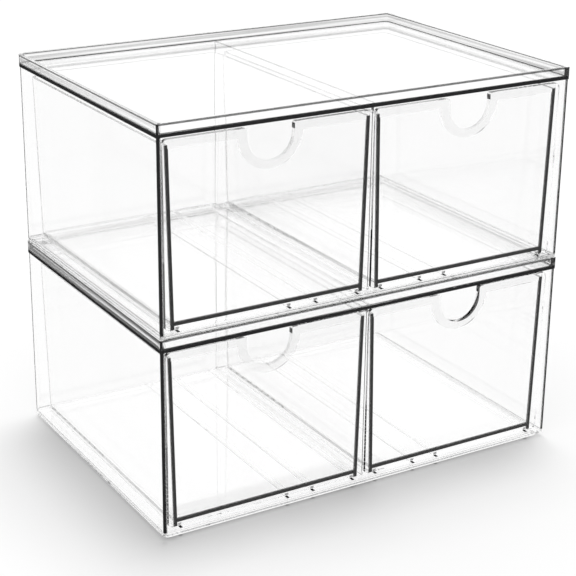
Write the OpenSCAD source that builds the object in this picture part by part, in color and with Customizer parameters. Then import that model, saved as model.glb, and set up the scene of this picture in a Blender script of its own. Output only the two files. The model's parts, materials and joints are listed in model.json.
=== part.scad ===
// Clear stacking drawer cabinet: two alike units, one on the other, each with two pull-out drawers.
// Frame: x across the front, y from the front to the back, z up from the surface it stands on.

/* [Cabinet] */
// Width over the rim of the top tray
cabinet_w = 305; // [240:1:400]
// Depth over the rim of the top tray
cabinet_d = 213; // [160:0.2:300]
// Height of one unit, from the underside of its floor plate to the top of its rim
unit_h = 133.4; // [90:0.1:200]
// Thickness of the side and back walls
wall_t = 2.5; // [2:0.1:4]
// Radius of the upright corners at the front
front_r = 1.2; // [1:0.1:3.5]
// Radius of the upright corners at the back
back_r = 5.5; // [4.5:0.1:10]
// Thickness of the middle partition
divider_t = 2; // [1.5:0.1:4]

/* [Top tray] */
// Thickness of the tray's plate
tray_t = 2.2; // [2:0.1:4]
// Height of the rim above the plate
rim_h = 6.1; // [4:0.1:8]
// Thickness of the rim
rim_t = 2.8; // [2:0.1:4]
// How far the tray stands proud of the walls, on each side
tray_lip = 0.4; // [0:0.1:1]
// Radius of the recess's corners
recess_r = 2; // [1:0.1:6]

/* [Floor plate] */
// Thickness of the floor plate
base_t = 2.2; // [1.6:0.1:4]
// Height of the foot ring under the floor plate, which nests in the tray below
foot_h = 3; // [2:0.1:3.6]
// Thickness of the foot ring
foot_t = 2; // [1.5:0.1:4]
// Gap round the foot ring inside the rim it nests in
nest_gap = 1; // [0.4:0.1:2]
// Gap between a unit's floor plate and the rim under it
stack_gap = 0.3; // [0.2:0.05:0.5]
// Width of the floor ribs
rib_w = 3; // [2:0.1:4]
// Height of the floor ribs
rib_h = 2.4; // [1.5:0.1:2.8]
// Distance from the middle to the nearer stiffening rib
near_rib_x = 40.3; // [25:0.1:48]
// Distance from the middle to the farther stiffening rib
far_rib_x = 59.9; // [54:0.1:85]
// Gap between the ribs' far ends and the back wall
rib_back_gap = 2; // [0.5:0.1:5]

/* [Drawer fronts] */
// How far the drawer fronts sit behind the cabinet's front edge
front_recess = 3; // [1:0.1:6]
// Thickness of a drawer front
front_t = 2.5; // [2:0.1:4]
// Radius of a drawer front's corners
front_corner_r = 2.2; // [1:0.1:6]
// Gap between a drawer front and the side wall
side_gap = 2.5; // [0.5:0.1:4]
// Gap between the two drawer fronts
middle_gap = 1.4; // [1:0.1:4]
// Gap between a drawer front and the tray above it
top_gap = 2.6; // [1:0.1:5]
// Gap between a drawer front and the floor plate
bottom_gap = 1.6; // [0.6:0.1:3]
// Gap between a closed drawer front and the ribs and partition behind it
stop_gap = 0.3; // [0.2:0.05:0.5]

/* [Finger notch] */
// Half the width of the notch
notch_r = 15.9; // [12:0.1:20]
// Depth of the notch below the top of the front
notch_depth = 22.3; // [21.5:0.1:32]
// Radius of the notch's two top corners
notch_corner_r = 1.5; // [0.5:0.1:2.5]
// Outer radius of the raised band round the notch
band_r = 22.7; // [21:0.1:26]
// Depth of the raised band's centre below the top of the front
band_drop = 5; // [3:0.1:7]
// Height of the raised band behind the front
band_t = 1.2; // [0.6:0.1:2]
// Height of the stiffening strip along the top of the front
strip_h = 6; // [3:0.1:10]

/* [Drawer box] */
// Thickness of the drawer's walls
drawer_wall_t = 2.2; // [1.5:0.1:3]
// Thickness of the drawer's floor
drawer_floor_t = 2.4; // [1.5:0.1:3]
// How far the box's walls stand in from the front's edges, at their top
box_inset = 2; // [1.5:0.1:6]
// How far the box's walls end below the top of the front
wall_drop = 3.8; // [1:0.1:10]
// Slope of the box's walls, which lets the moulding leave its mould
draft_angle = 1.2; // [0.2:0.1:1.6]
// Radius of the box's back corners at the top
box_r = 6; // [5.5:0.1:12]
// Gap between the drawer and the back wall, at the top
back_gap = 5.3; // [2:0.1:15]
// Gap between the drawer's runners and the floor plate
runner_gap = 0.3; // [0.2:0.05:0.5]
// Height of the drawer's floor above its runners' lower edge
runner_h = 3.1; // [2.9:0.1:5]
// Gap between a runner and the guide rib inside it
guide_gap = 0.4; // [0.3:0.05:1]

/* [Hidden] */
$fn = 96;

clear_plastic = [0.93, 0.95, 0.97, 0.4];
drawer_plastic = [0.96, 0.97, 0.98, 0.4];

// A cut runs this far past the face it leaves through.
past = 1;

// Heights in a unit, from the underside of its floor plate.
tray_z = unit_h - rim_h - tray_t;
front_z = base_t + bottom_gap;
front_top_z = tray_z - top_gap;
box_top_z = front_top_z - wall_drop;
runner_z = base_t + runner_gap;
drawer_floor_z = runner_z + runner_h;
unit_pitch = unit_h + stack_gap;

// Plan sizes.
wall_w = cabinet_w - 2 * tray_lip;
wall_d = cabinet_d - 2 * tray_lip;
inner_half_w = wall_w / 2 - wall_t;
inner_back_y = wall_d / 2 - wall_t;
recess_w = cabinet_w - 2 * rim_t;
recess_d = cabinet_d - 2 * rim_t;
foot_w = recess_w - 2 * nest_gap;
foot_d = recess_d - 2 * nest_gap;

// Each drawer's place across the cabinet, and its front's width and depth place.
front_w = inner_half_w - side_gap - middle_gap / 2;
drawer_x = (middle_gap / 2 + inner_half_w - side_gap) / 2;
front_y = front_recess - wall_d / 2;
front_back_y = front_y + front_t;
stop_y = front_back_y + stop_gap;

// The box: its corner centres stay put while the corner radius shrinks towards the floor.
draft = tan(draft_angle);
box_back_y = inner_back_y - back_gap;
corner_x = front_w / 2 - box_inset - box_r;
corner_y = box_back_y - box_r;
runner_inner_x = corner_x + corner_r(runner_z) - drawer_wall_t;

// The guide ribs run just inside a drawer's two runners.
guide_offset = runner_inner_x - guide_gap - rib_w / 2;
rib_places = [drawer_x - guide_offset, near_rib_x, far_rib_x, drawer_x + guide_offset];

// Radius of the box's back corners at a height.
function corner_r(z) = box_r - draft * (box_top_z - z);

// Rectangle, centred, with one radius at its two front corners and one at its two back corners.
module rounded_plan(w, d, r_front, r_back) {
    for (side = [-1, 1]) {
        translate([side * (w / 2 - r_front), r_front - d / 2])
            circle(r_front);
        translate([side * (w / 2 - r_back), d / 2 - r_back])
            circle(r_back);
    }
    translate([-w / 2, r_front - d / 2])
        square([w, d - r_front - r_back]);
    translate([r_front - w / 2, -d / 2])
        square([w - 2 * r_front, d / 2]);
    translate([r_back - w / 2, 0])
        square([w - 2 * r_back, d / 2]);
}

// Puts a unit's pieces at their height: level 0 stands on the surface, level 1 on the unit below.
module at_level(level) {
    translate([0, 0, foot_h + level * unit_pitch])
        children();
}

// Extrudes an outline drawn in x and z from y0 back to y1.
module along_y(y0, y1) {
    translate([0, y1, 0])
        rotate([90, 0, 0])
            linear_extrude(y1 - y0)
                children();
}

// Floor plate with its foot ring below and the drawers' guide and stiffening ribs on top.
module base() {
    color(clear_plastic) {
        linear_extrude(base_t)
            rounded_plan(wall_w, wall_d, front_r, back_r);
        translate([0, 0, -foot_h])
            linear_extrude(foot_h)
                difference() {
                    rounded_plan(foot_w, foot_d, recess_r, recess_r);
                    square([foot_w - 2 * foot_t, foot_d - 2 * foot_t], center = true);
                }
        for (side = [-1, 1])
            for (x = rib_places)
                translate([side * x - rib_w / 2, stop_y, base_t])
                    cube([rib_w, inner_back_y - rib_back_gap - stop_y, rib_h]);
    }
}

// Left wall, back wall and right wall in one piece, open to the front.
module shell() {
    color(clear_plastic)
        translate([0, 0, base_t])
            linear_extrude(tray_z - base_t)
                difference() {
                    rounded_plan(wall_w, wall_d, front_r, back_r);
                    translate([0, -wall_t])
                        rounded_plan(2 * inner_half_w, wall_d, front_r, back_r - wall_t);
                    translate([-inner_half_w, -wall_d / 2 - wall_t - past])
                        square([2 * inner_half_w, wall_d / 2]);
                }
}

// Middle partition between the two drawers.
module divider() {
    color(clear_plastic)
        translate([-divider_t / 2, stop_y, base_t])
            cube([divider_t, inner_back_y - stop_y, tray_z - base_t]);
}

// Top plate with a raised rim all round.
module top_tray() {
    color(clear_plastic)
        translate([0, 0, tray_z])
            difference() {
                linear_extrude(tray_t + rim_h)
                    rounded_plan(cabinet_w, cabinet_d, front_r, back_r);
                translate([0, 0, tray_t])
                    linear_extrude(rim_h + past)
                        rounded_plan(recess_w, recess_d, recess_r, recess_r);
            }
}

// Outline of the drawer front, in x and z, without its notch.
module front_outline() {
    translate([0, (front_z + front_top_z) / 2])
        rounded_plan(front_w, front_top_z - front_z, front_corner_r, front_corner_r);
}

// Outline of the finger notch, open at the top, with its two top corners rounded over.
module notch_outline() {
    translate([0, front_top_z - notch_depth + notch_r])
        circle(notch_r);
    translate([-notch_r, front_top_z - notch_depth + notch_r])
        square([2 * notch_r, notch_depth - notch_r + past]);
    difference() {
        translate([-notch_r - notch_corner_r, front_top_z - notch_corner_r])
            square([2 * (notch_r + notch_corner_r), notch_corner_r + past]);
        for (side = [-1, 1])
            translate([side * (notch_r + notch_corner_r), front_top_z - notch_corner_r])
                circle(notch_corner_r);
    }
}

// Front plate with the notch, and behind it the stiffening strip and the band round the notch.
module drawer_front() {
    along_y(front_y, front_back_y)
        difference() {
            front_outline();
            notch_outline();
        }
    along_y(front_back_y, front_back_y + band_t)
        difference() {
            union() {
                intersection() {
                    front_outline();
                    translate([0, front_top_z - band_drop])
                        circle(band_r);
                }
                translate([-front_w / 2 + box_inset, front_top_z - strip_h])
                    square([front_w - 2 * box_inset, strip_h]);
            }
            notch_outline();
        }
}

// Drafted block with upright round back corners, set in from the box's outside, from z0 up to z1.
module drafted_block(inset, z0, z1) {
    r0 = corner_r(z0) - inset;
    r1 = corner_r(z1) - inset;
    hull() {
        along_y(front_back_y, front_back_y + band_t)
            polygon([[-corner_x - r0, z0], [corner_x + r0, z0], [corner_x + r1, z1], [-corner_x - r1, z1]]);
        for (side = [-1, 1])
            translate([side * corner_x, corner_y, z0])
                cylinder(h = z1 - z0, r1 = r0, r2 = r1, $fn = 32);
    }
}

// Drawer in one moulding: front, floor, three drafted walls and two runners under the floor.
module drawer(side) {
    color(drawer_plastic)
        translate([side * drawer_x, 0, 0]) {
            drawer_front();
            difference() {
                drafted_block(0, runner_z, box_top_z);
                drafted_block(drawer_wall_t, drawer_floor_z + drawer_floor_t, box_top_z + past);
                translate([-runner_inner_x, front_back_y - past, runner_z - past])
                    cube([2 * runner_inner_x, cabinet_d, runner_h + past]);
            }
        }
}

module lower_base() { at_level(0) base(); }
module lower_shell() { at_level(0) shell(); }
module lower_divider() { at_level(0) divider(); }
module lower_top_tray() { at_level(0) top_tray(); }
module lower_left_drawer() { at_level(0) drawer(-1); }
module lower_right_drawer() { at_level(0) drawer(1); }
module upper_base() { at_level(1) base(); }
module upper_shell() { at_level(1) shell(); }
module upper_divider() { at_level(1) divider(); }
module upper_top_tray() { at_level(1) top_tray(); }
module upper_left_drawer() { at_level(1) drawer(-1); }
module upper_right_drawer() { at_level(1) drawer(1); }

lower_base();
lower_shell();
lower_divider();
lower_top_tray();
lower_left_drawer();
lower_right_drawer();
upper_base();
upper_shell();
upper_divider();
upper_top_tray();
upper_left_drawer();
upper_right_drawer();
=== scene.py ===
import json
import math

import bmesh
import bpy
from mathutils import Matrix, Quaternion, Vector

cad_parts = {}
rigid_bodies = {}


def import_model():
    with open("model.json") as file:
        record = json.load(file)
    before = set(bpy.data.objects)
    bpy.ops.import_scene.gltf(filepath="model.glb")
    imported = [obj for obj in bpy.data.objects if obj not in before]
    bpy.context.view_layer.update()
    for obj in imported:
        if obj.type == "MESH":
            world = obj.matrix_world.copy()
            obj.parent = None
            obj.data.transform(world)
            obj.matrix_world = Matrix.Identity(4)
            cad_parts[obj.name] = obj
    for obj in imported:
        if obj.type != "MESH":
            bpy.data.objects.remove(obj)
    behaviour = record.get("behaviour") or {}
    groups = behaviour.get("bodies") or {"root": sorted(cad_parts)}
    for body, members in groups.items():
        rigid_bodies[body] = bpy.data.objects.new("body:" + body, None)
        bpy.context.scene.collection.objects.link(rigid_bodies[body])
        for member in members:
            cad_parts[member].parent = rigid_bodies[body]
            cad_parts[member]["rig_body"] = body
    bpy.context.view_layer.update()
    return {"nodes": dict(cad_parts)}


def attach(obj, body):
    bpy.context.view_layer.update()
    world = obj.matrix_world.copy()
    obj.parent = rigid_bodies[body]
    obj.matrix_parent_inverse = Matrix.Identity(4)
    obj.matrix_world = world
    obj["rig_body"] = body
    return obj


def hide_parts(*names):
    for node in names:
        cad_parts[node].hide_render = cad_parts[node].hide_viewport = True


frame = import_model()
scene = bpy.context.scene
print("frame loaded:", len(frame["nodes"]), "pieces")


class Wire:  # a shader socket that can be used in sums
    def __init__(self, graph, socket):
        self.graph, self.socket = graph, socket

    def joined(self, operation, first, second):
        return self.graph.add("ShaderNodeMath", {"operation": operation}, {0: first, 1: second})

    def __add__(self, other):
        return self.joined("ADD", self, other)

    def __rsub__(self, other):
        return self.joined("SUBTRACT", other, self)

    def __mul__(self, other):
        return self.joined("MULTIPLY", self, other)


class Graph:  # the node tree of a material or a world
    def __init__(self, owner):
        owner.use_nodes = True
        self.tree = owner.node_tree
        self.tree.nodes.clear()

    def add(self, kind, settings=None, inputs=None, output=0):
        node = self.tree.nodes.new(kind)
        for name, value in (settings or {}).items():
            setattr(node, name, value)
        for name, value in (inputs or {}).items():
            if isinstance(value, Wire):
                self.tree.links.new(value.socket, node.inputs[name])
            elif node.inputs[name].type == "RGBA":
                node.inputs[name].default_value = (*value, 1)
            else:
                node.inputs[name].default_value = value
        if not node.outputs:
            return None
        return Wire(self, node.outputs[output])

    def other(self, wire, output):
        return Wire(self, wire.socket.node.outputs[output])


colourIn, colourOut = (6, 7), 2  # a Mix node's colour sockets go by number


def noise(graph, place, scale, detail):
    fineness, roughness = detail
    return graph.add("ShaderNodeTexNoise", {"noise_dimensions": "3D"},
                     {"Vector": place, "Scale": scale, "Detail": fineness, "Roughness": roughness})


def faceValue(graph, name):
    return graph.add("ShaderNodeAttribute", {"attribute_name": name}, output="Fac")


# The plastic that every piece is moulded in. A piece's own dictionary changes what differs.
plastic = {
    "ior": 1.49, "roughness": (0.0, 0.02), "shadow": 0.94, "density": 4.0, "openFaces": False,
    "smudge": 0.004, "smudgeScale": 30.0, "smudgeDetail": (3.0, 0.55),
    "rippleScale": 14.0, "rippleDetail": (1.0, 0.4), "rippleStrength": 0.05, "rippleHeight": 0.0004,
    "lines": (5.0, 5.0, 700.0), "linesDetail": (2.0, 0.5), "linesRange": (0.35, 0.65),
}


def clearPlastic(name, look):  # a face's dark is painted shade, lined paints darker streaks, frost and open say how far it isn't clear
    look = dict(plastic, **look)
    material = bpy.data.materials.new(name)
    graph = Graph(material)
    place = graph.add("ShaderNodeTexCoord", output="Object")
    ripple = noise(graph, place, look["rippleScale"], look["rippleDetail"])
    bump = graph.add("ShaderNodeBump", None, {
        "Height": ripple, "Strength": look["rippleStrength"], "Distance": look["rippleHeight"]})
    smudge = noise(graph, place, look["smudgeScale"], look["smudgeDetail"])
    drawn = graph.add("ShaderNodeMapping", None, {"Vector": place, "Scale": look["lines"]})
    streaks = noise(graph, drawn, 1.0, look["linesDetail"])
    faint, strong = look["linesRange"]
    lines = graph.add("ShaderNodeMapRange", None,
                      {"Value": streaks, "From Min": faint, "From Max": strong})
    dark = faceValue(graph, "dark")
    lined = faceValue(graph, "lined")
    # the base colour darkens by the painted shade in dark, the painted streaks in lined and a faint
    # random smudge
    tint = graph.add("ShaderNodeMix", {"data_type": "RGBA", "clamp_factor": True}, {
        "Factor": dark + lined * lines + smudge * look["smudge"],
        colourIn[0]: (1.0, 1.0, 1.0), colourIn[1]: (0.0, 0.0, 0.0)}, output=colourOut)
    frost = faceValue(graph, "frost")
    low, high = look["roughness"]
    body = graph.add("ShaderNodeBsdfPrincipled", None, {
        "Base Color": tint, "Roughness": smudge * (high - low) + low + frost, "Normal": bump,
        "IOR": look["ior"], "Transmission Weight": 1.0})
    if look["openFaces"]:  # faces that light passes straight through
        opened = faceValue(graph, "open")
        graph.tree.links.new((1 - opened).socket, body.socket.node.inputs["Alpha"])
    inShadow = graph.add("ShaderNodeLightPath", output="Is Shadow Ray")
    passing = graph.add("ShaderNodeBsdfTransparent", None, {"Color": (look["shadow"],) * 3})
    surface = graph.add("ShaderNodeMixShader", None, {0: inShadow, 1: body, 2: passing})
    depth = graph.add("ShaderNodeVolumeAbsorption", None,
                      {"Color": (0.0, 0.0, 0.0), "Density": look["density"]})
    graph.add("ShaderNodeOutputMaterial", None, {"Surface": surface, "Volume": depth})
    return material


mattGrain = {"scale": 60.0, "detail": (2.0, 0.5), "darker": 0.9, "roughnessSpan": 0.2}


def mattFace(name, colour, roughness):  # an opaque face in a painted dark colour that stands in for shade, not what lies behind it
    material = bpy.data.materials.new(name)
    graph = Graph(material)
    place = graph.add("ShaderNodeTexCoord", output="Object")
    grain = noise(graph, place, mattGrain["scale"], mattGrain["detail"])
    darker = tuple(c * mattGrain["darker"] for c in colour)
    tint = graph.add("ShaderNodeMix", {"data_type": "RGBA"},
                     {"Factor": grain, colourIn[0]: colour, colourIn[1]: darker}, output=colourOut)
    body = graph.add("ShaderNodeBsdfPrincipled", None, {
        "Base Color": tint, "Roughness": grain * mattGrain["roughnessSpan"] + roughness,
        "Specular IOR Level": 0.0})
    graph.add("ShaderNodeOutputMaterial", None, {"Surface": body})
    return material


# Distances in metres, angles in degrees.
tolerance = {"merge": 1e-6, "cut": 1e-7, "touch": 1e-5, "near": 1e-4, "flat": 0.6, "sharp": 30}
facing, sideways = 0.9, 0.1  # how far a normal points along an axis: at least, and at most


def mergedCopy(node):
    mesh = bmesh.new()
    mesh.from_mesh(frame["nodes"][node].data)
    bmesh.ops.remove_doubles(mesh, verts=mesh.verts, dist=tolerance["merge"])
    bmesh.ops.dissolve_limit(mesh, angle_limit=math.radians(tolerance["flat"]), verts=mesh.verts,
                             edges=mesh.edges)
    for layer in ("dark", "lined", "frost", "open"):
        mesh.faces.layers.float.new(layer)
    return mesh


def reach(mesh, axis):
    places = [v.co[axis] for v in mesh.verts]
    return min(places), max(places)


def closeUp(mesh, gap):  # a hair of air where a piece is cemented to the one above and below
    low, high = reach(mesh, 2)
    for v in mesh.verts:
        if v.co.z < low + tolerance["touch"]:
            v.co.z += gap
        if v.co.z > high - tolerance["touch"]:
            v.co.z -= gap


def cutAcross(mesh, axis, place):
    normal = Vector((0, 0, 0))
    normal[axis] = 1
    return bmesh.ops.bisect_plane(mesh, geom=mesh.verts[:] + mesh.edges[:] + mesh.faces[:],
                                  dist=tolerance["cut"], plane_co=normal * place, plane_no=normal)


# each bevel is painted with a shade from darkness, standing in for the dark line that an edge of clear
# plastic shows
def roundEdges(mesh, radius, segments, darkness):
    least = math.radians(tolerance["sharp"])
    sharp = [e for e in mesh.edges if e.is_manifold and e.calc_face_angle(0) > least]
    made = bmesh.ops.bevel(mesh, geom=sharp, offset=radius, offset_type="OFFSET", affect="EDGES",
                           segments=segments, profile=0.5, material=-1, clamp_overlap=True)
    dark = mesh.faces.layers.float["dark"]
    lined = mesh.faces.layers.float["lined"]
    for face in made["faces"]:
        face[dark] = darkness(face.calc_center_median())
        face[lined] = 0.0


def paint(mesh, layer, amount, wanted):
    layer = mesh.faces.layers.float[layer]
    for face in mesh.faces:
        if wanted(face.calc_center_median(), face.normal):
            face[layer] = amount


def mattAt(mesh, wanted):  # these faces get the piece's second material, a near-black matt painted as shade
    for face in mesh.faces:
        if wanted(face.calc_center_median(), face.normal):
            face.material_index = 1


def finishPiece(mesh, node, materials):
    for face in mesh.faces:
        face.smooth = True
    data = bpy.data.meshes.new(node + "_clear")
    mesh.to_mesh(data)
    mesh.free()
    for material in materials:
        data.materials.append(material)
    piece = bpy.data.objects.new(node + "_clear", data)
    scene.collection.objects.link(piece)
    normals = piece.modifiers.new("evenNormals", "WEIGHTED_NORMAL")
    normals.weight = 50
    normals.keep_sharp = True
    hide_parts(node)
    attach(piece, frame["nodes"][node]["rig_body"])
    print("piece", piece.name, len(piece.data.polygons), "faces")


# near-black matt painted on plate edges, rim corners, wall ends and dots before the ribs, where clear
# plastic shows only shade
paintedEdgeShade = {"colour": (0.034, 0.034, 0.035), "roughness": 0.5}
edgeShadeMatt = mattFace("paintedEdgeShade", paintedEdgeShade["colour"], paintedEdgeShade["roughness"])

# frontEdge and backEdge paint shade on the bevels, rimShade a dark line of shade along the rim's top,
# rimLines streaked shade on the rim's inner walls, sideLines darker streaks on the outer sides
trayPiece = {
    "band": 0.0022, "rounding": 0.0005, "segments": 3, "frontEdge": 0.95, "backEdge": 0.85,
    "cornerTurn": 0.25, "rimTurn": 0.5, "rimLine": 0.0011, "rimShade": 0.97,
    "rimLines": {"upper": 0.6, "lower": 1.5}, "sideLines": {"upper": 0.25, "lower": 0.8},
}
trayPlastic = clearPlastic("trayClear", {"density": 6.0})


def makeTray(node):
    mesh = mergedCopy(node)
    low, high = reach(mesh, 2)
    bandTop, lineFrom = low + trayPiece["band"], high - trayPiece["rimLine"]
    turned = trayPiece["cornerTurn"]
    unit = node[:5]
    cutAcross(mesh, 2, bandTop)
    cutAcross(mesh, 2, lineFrom)
    # the plate's edge all round is painted near-black matt, as shade
    mattAt(mesh, lambda at, n: abs(n.z) < sideways and at.z < bandTop)
    paint(mesh, "lined", trayPiece["sideLines"][unit],
          lambda at, n: bandTop < at.z < lineFrom and at.x * n.x > 0 and abs(n.x) > facing)
    # the rim's inner walls get streaked painted shade
    paint(mesh, "lined", trayPiece["rimLines"][unit],
          lambda at, n: abs(n.z) < sideways and at.z > bandTop and at.x * n.x + at.y * n.y < 0
          and n.y < trayPiece["rimTurn"])
    paint(mesh, "dark", trayPiece["rimShade"],
          lambda at, n: abs(n.z) < sideways and at.z > lineFrom and at.x * n.x + at.y * n.y > 0)
    # the rim's front corners are painted near-black matt, as shade
    mattAt(mesh, lambda at, n: at.z > bandTop and at.y < 0 and abs(n.x) > turned and n.y < -turned)
    roundEdges(mesh, trayPiece["rounding"], trayPiece["segments"],
               lambda at: trayPiece["frontEdge"] if at.y < 0 else trayPiece["backEdge"])
    finishPiece(mesh, node, [trayPlastic, edgeShadeMatt])


# frontEdge and backEdge paint shade on the bevels
shellPiece = {
    "rounding": 0.0004, "segments": 3, "seam": 0.00006, "frontEdge": 0.9, "backEdge": 0.2,
    "endDepth": 0.0015, "endWidth": 0.0017,
}
shellPlastic = clearPlastic("shellClear", {"density": 0.8})


def makeShell(node):
    mesh = mergedCopy(node)
    closeUp(mesh, shellPiece["seam"])
    frontEnd = reach(mesh, 1)[0] + shellPiece["endDepth"]
    outside = reach(mesh, 0)[1] - shellPiece["endWidth"]
    for place in (-outside, outside):
        cutAcross(mesh, 0, place)

    def atEnd(at):
        return at.y < frontEnd and abs(at.x) > outside

    # the walls' front ends are painted near-black matt, as shade
    mattAt(mesh, lambda at, n: atEnd(at))
    roundEdges(mesh, shellPiece["rounding"], shellPiece["segments"],
               lambda at: shellPiece["frontEdge"] if atEnd(at) else shellPiece["backEdge"])
    finishPiece(mesh, node, [shellPlastic, edgeShadeMatt])


partitionPiece = {"rounding": 0.0002, "segments": 2, "seam": 0.00006, "edge": 0.02, "endFrost": 0.5}
partitionPlastic = clearPlastic("partitionClear", {"density": 1.0})


def makePartition(node):
    mesh = mergedCopy(node)
    closeUp(mesh, partitionPiece["seam"])
    paint(mesh, "frost", partitionPiece["endFrost"], lambda at, n: n.y < -facing)
    # the bevels are painted with a faint shade
    roundEdges(mesh, partitionPiece["rounding"], partitionPiece["segments"],
               lambda at: partitionPiece["edge"])
    finishPiece(mesh, node, [partitionPlastic])


# frontEdge and edge paint shade on the bevels; the rib ends are painted dark from a little above the
# plate, with a near-black matt dot of shade before each rib; footLines paint darker streaks on the
# foot's sides
floorPiece = {
    "rounding": 0.00035, "segments": 2, "foot": 0.003, "frontEdge": 0.7, "edge": 0.9,
    "footLines": 0.8, "sideFrom": 0.146, "sideTurn": 0.5, "frontDepth": 0.003, "plate": 0.0022,
    "ribEndShade": 0.85, "ribShadeFrom": 0.0012, "dotHalf": 0.001, "dotDepth": 0.0036,
}
floorPlastic = clearPlastic("floorClear", {"density": 2.5, "lines": (5.0, 5.0, 900.0)})


def makeFloorPlate(node):
    mesh = mergedCopy(node)
    near = tolerance["near"]
    footTop = reach(mesh, 2)[0] + floorPiece["foot"] - near
    frontFace = reach(mesh, 1)[0] + floorPiece["frontDepth"]
    plateTop = reach(mesh, 2)[0] + floorPiece["foot"] + floorPiece["plate"]
    shadeFrom = plateTop + floorPiece["ribShadeFrom"]
    half = floorPiece["dotHalf"]
    centres = [f.calc_center_median() for f in mesh.faces if f.normal.y < -facing]
    ribs = [c for c in centres if c.y > frontFace and c.z > plateTop]
    ribFront = ribs[0].y
    cutAcross(mesh, 2, shadeFrom)
    cutAcross(mesh, 1, ribFront - floorPiece["dotDepth"])
    for rib in ribs:
        for place in (rib.x - half, rib.x + half):
            cutAcross(mesh, 0, place)

    def byRib(at):
        return any(abs(at.x - rib.x) < half for rib in ribs)

    # the rib ends are painted dark and a near-black matt dot lies in front of each rib, as shade
    paint(mesh, "dark", floorPiece["ribEndShade"],
          lambda at, n: n.y < -facing and abs(at.y - ribFront) < near and at.z > shadeFrom and byRib(at))
    mattAt(mesh, lambda at, n: n.z > facing and abs(at.z - plateTop) < near and byRib(at)
           and ribFront - floorPiece["dotDepth"] < at.y < ribFront)
    # the foot's left and right sides get darker painted streaks
    paint(mesh, "lined", floorPiece["footLines"],
          lambda at, n: at.z < footTop and abs(n.x) > floorPiece["sideTurn"]
          and abs(at.x) > floorPiece["sideFrom"])
    roundEdges(mesh, floorPiece["rounding"], floorPiece["segments"],
               lambda at: floorPiece["frontEdge"] if at.y < frontFace else floorPiece["edge"])
    finishPiece(mesh, node, [floorPlastic, edgeShadeMatt])


# outline, topEdge, notchEdge, bandEdge and boxEdge paint shade on the bevels, band a grey shade on the
# front plate's rear faces, dashShade a dark dash of shade on the top edge by the notch, and a strip of
# the notch's wall gets dark painted shade; boxEnd is the near-black of the box's painted end caps
drawerPiece = {
    "rounding": 0.0004, "segments": 3, "front": 0.0037, "plate": 0.0026, "outline": 0.6, "boxEdge": 0.7,
    "topEdge": 0.1, "topRim": 0.001, "part": 5e-5, "band": 0.12, "bandEdge": 0.5,
    "dash": (-0.0245, -0.0185), "dashShade": 0.9,
    "notchHalf": 0.0186, "notchDepth": 0.0235, "notchEdge": 0.7, "notchOpen": 0.85,
    "notchShade": 0.99, "notchShadeHeights": (0.0045, 0.0011),
    "boxEnd": (0.012, 0.012, 0.013), "boxEndRoughness": 0.5,
}
drawerPlastic = clearPlastic("drawerClear", {"density": 4.0, "rippleScale": 18.0, "openFaces": True})
drawerBoxEndShade = mattFace("drawerBoxEndShade", drawerPiece["boxEnd"], drawerPiece["boxEndRoughness"])


def partBox(mesh):  # the box's walls and floor end in a painted dark line behind the front, near-black caps that stand in for shade
    made = cutAcross(mesh, 1, reach(mesh, 1)[0] + drawerPiece["front"] + drawerPiece["part"])
    loop = [e for e in made["geom_cut"] if isinstance(e, bmesh.types.BMEdge)]
    bmesh.ops.split_edges(mesh, edges=loop)
    rims = [e for e in mesh.edges if e.is_boundary]
    for edge in rims:
        edge.smooth = False
    ends = bmesh.ops.holes_fill(mesh, edges=rims, sides=0)["faces"]
    for face in ends:
        face.material_index = 1
    bmesh.ops.recalc_face_normals(mesh, faces=mesh.faces)


def makeDrawer(node):
    mesh = mergedCopy(node)
    plateBack = reach(mesh, 1)[0] + drawerPiece["plate"]
    boxFront = reach(mesh, 1)[0] + drawerPiece["front"]
    middle = sum(reach(mesh, 0)) / 2
    top = reach(mesh, 2)[1]
    near = tolerance["near"]
    shadeFrom, shadeTo = [top - height for height in drawerPiece["notchShadeHeights"]]
    dashFrom, dashTo = drawerPiece["dash"]

    def inNotch(at):
        return abs(at.x - middle) < drawerPiece["notchHalf"] and at.z > top - drawerPiece["notchDepth"]

    def inside(at, n):  # the notch's own wall, where a finger pulls
        return inNotch(at) and at.y < boxFront and abs(n.y) < sideways and at.z < top - near

    # the strip of the notch's wall that is painted dark, as shade
    def inNotchShade(at):
        return at.x > middle and shadeFrom < at.z < shadeTo

    def inDash(at):
        return dashFrom < at.x - middle < dashTo

    def edgeShade(at):
        if at.y > plateBack:
            return drawerPiece["bandEdge"] if at.y < boxFront else drawerPiece["boxEdge"]
        if inNotch(at):
            return drawerPiece["notchEdge"]
        if at.z > top - drawerPiece["topRim"]:
            return drawerPiece["dashShade"] if inDash(at) else drawerPiece["topEdge"]
        return drawerPiece["outline"]

    cutAcross(mesh, 2, shadeFrom)
    cutAcross(mesh, 2, shadeTo)
    for place in drawerPiece["dash"]:
        cutAcross(mesh, 0, middle + place)
    paint(mesh, "open", drawerPiece["notchOpen"], lambda at, n: inside(at, n) and not inNotchShade(at))
    # a strip of the notch's right wall is painted dark, as shade
    paint(mesh, "dark", drawerPiece["notchShade"], lambda at, n: inside(at, n) and inNotchShade(at))
    # the dash on the top face left of the notch is painted dark, as shade
    paint(mesh, "dark", drawerPiece["dashShade"],
          lambda at, n: n.z > facing and at.z > top - near and at.y < boxFront and inDash(at))
    # the front plate's rear faces get a grey painted shade
    paint(mesh, "dark", drawerPiece["band"],
          lambda at, n: n.y > facing and plateBack < at.y < boxFront + near)
    roundEdges(mesh, drawerPiece["rounding"], drawerPiece["segments"], edgeShade)
    partBox(mesh)
    finishPiece(mesh, node, [drawerPlastic, drawerBoxEndShade])


makers = {"base": makeFloorPlate, "shell": makeShell, "divider": makePartition, "top_tray": makeTray,
          "drawer": makeDrawer}
for node in sorted(frame["nodes"]):
    makers[next(kind for kind in makers if node.endswith(kind))](node)


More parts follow.
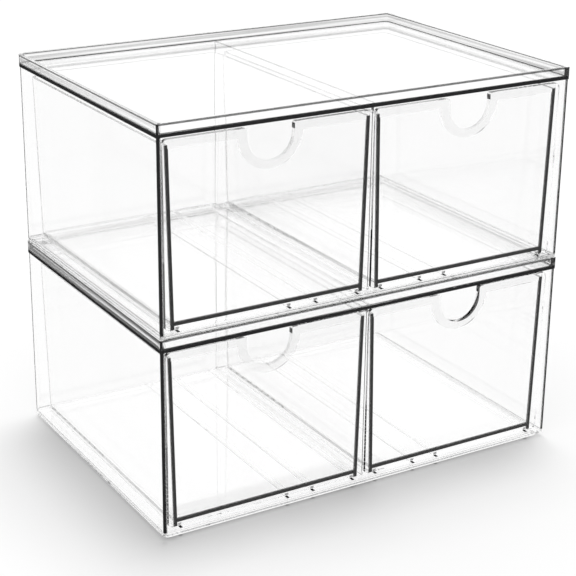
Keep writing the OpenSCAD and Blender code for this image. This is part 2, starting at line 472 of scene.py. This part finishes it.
studio = {
    "floorSize": 30.0, "floorColour": (0.8, 0.8, 0.8), "floorGlow": 0.10, "ambient": 0.42,
    "mirrorLow": 0.5, "mirrorHigh": 0.85, "mirrorBand": 1.2,
    "throughLow": 0.45, "throughHigh": 0.75, "throughBand": 1.22, "overhead": 0.03,
}


def fade(graph, up, low, high, band):  # white by the horizon, dark overhead
    return graph.add("ShaderNodeMapRange", {"interpolation_type": "SMOOTHSTEP"}, {
        "Value": up, "From Min": studio[low], "From Max": studio[high],
        "To Min": studio[band], "To Max": studio["overhead"]})


def makeWorld():
    world = bpy.data.worlds.new("studioWorld")
    scene.world = world
    graph = Graph(world)
    direction = graph.add("ShaderNodeTexCoord", output="Generated")
    up = graph.other(graph.add("ShaderNodeSeparateXYZ", None, {"Vector": direction}), "Z")
    camera = graph.add("ShaderNodeLightPath", output="Is Camera Ray")
    mirror = graph.other(camera, "Is Glossy Ray")
    through = graph.other(camera, "Is Transmission Ray")
    mirrorSky = fade(graph, up, "mirrorLow", "mirrorHigh", "mirrorBand")
    throughSky = fade(graph, up, "throughLow", "throughHigh", "throughBand")
    lighting = (1 - camera) * (1 - through) * (1 - mirror)
    mirrored = (1 - through) * mirror * mirrorSky
    level = camera + through * throughSky + mirrored + lighting * studio["ambient"]
    background = graph.add("ShaderNodeBackground", None, {"Color": (1.0, 1.0, 1.0), "Strength": level})
    graph.add("ShaderNodeOutputWorld", None, {"Surface": background})


def makeFloor():
    mesh = bmesh.new()
    bmesh.ops.create_grid(mesh, x_segments=1, y_segments=1, size=studio["floorSize"] / 2)
    data = bpy.data.meshes.new("studioFloor")
    mesh.to_mesh(data)
    mesh.free()
    floor = bpy.data.objects.new("studioFloor", data)
    scene.collection.objects.link(floor)
    material = bpy.data.materials.new("paleFloor")
    graph = Graph(material)
    camera = graph.add("ShaderNodeLightPath", output="Is Camera Ray")
    mirror = graph.other(camera, "Is Glossy Ray")
    through = graph.other(camera, "Is Transmission Ray")
    paper = graph.add("ShaderNodeBsdfDiffuse", None, {"Color": studio["floorColour"]})
    glow = graph.add("ShaderNodeEmission", None,
                     {"Color": (1.0, 1.0, 1.0), "Strength": camera * studio["floorGlow"]})
    lit = graph.add("ShaderNodeAddShader", None, {0: paper, 1: glow})
    white = graph.add("ShaderNodeEmission", None, {"Color": (1.0, 1.0, 1.0), "Strength": 1.0})
    surface = graph.add("ShaderNodeMixShader", None, {0: mirror + through, 1: lit, 2: white})
    graph.add("ShaderNodeOutputMaterial", None, {"Surface": surface})
    data.materials.append(material)


keyLight = {"strength": 2.5, "spread": 22.0, "from": (0.16, 0.16, 1.0)}


def makeSun():  # broad soft light, seen by the floor and not in the plastic
    light = bpy.data.lights.new("keyLight", "SUN")
    light.energy = keyLight["strength"]
    light.angle = math.radians(keyLight["spread"])
    lamp = bpy.data.objects.new("keyLight", light)
    scene.collection.objects.link(lamp)
    lamp.rotation_mode = "QUATERNION"
    lamp.rotation_quaternion = Vector(keyLight["from"]).to_track_quat("Z", "Y")
    lamp.visible_glossy = False
    lamp.visible_transmission = False


photoView = {
    "width": 576, "focal": 1565.0, "centre": (269.11, 263.36),
    "place": (-0.53364, -0.88249, 0.50133), "turn": 30.451, "down": 20.047, "roll": 0.409,
    "clip": (0.05, 100),
}


def makeCamera():
    camera = bpy.data.cameras.new("photoCamera")
    camera.lens = photoView["focal"] / photoView["width"] * camera.sensor_width
    camera.shift_x = 0.5 - photoView["centre"][0] / photoView["width"]
    camera.shift_y = photoView["centre"][1] / photoView["width"] - 0.5
    camera.clip_start, camera.clip_end = photoView["clip"]
    eye = bpy.data.objects.new("photoCamera", camera)
    scene.collection.objects.link(eye)
    turn, down, roll = [math.radians(photoView[angle]) for angle in ("turn", "down", "roll")]
    forward = Vector((math.sin(turn) * math.cos(down), math.cos(turn) * math.cos(down), -math.sin(down)))
    eye.rotation_mode = "QUATERNION"
    eye.rotation_quaternion = forward.to_track_quat("-Z", "Y") @ Quaternion((0, 0, 1), roll)
    eye.location = photoView["place"]
    scene.camera = eye


makeWorld()
makeFloor()
makeSun()
makeCamera()
lightPaths = {"bounces": 64, "transparent": 48}  # clear walls behind each other go dark with fewer
scene.cycles.max_bounces = lightPaths["bounces"]
scene.cycles.transmission_bounces = lightPaths["bounces"]
scene.cycles.glossy_bounces = lightPaths["bounces"]
scene.cycles.caustics_refractive = False
scene.cycles.caustics_reflective = False
scene.cycles.transparent_max_bounces = lightPaths["transparent"]
scene.view_settings.view_transform = "Standard"
print("studio made")
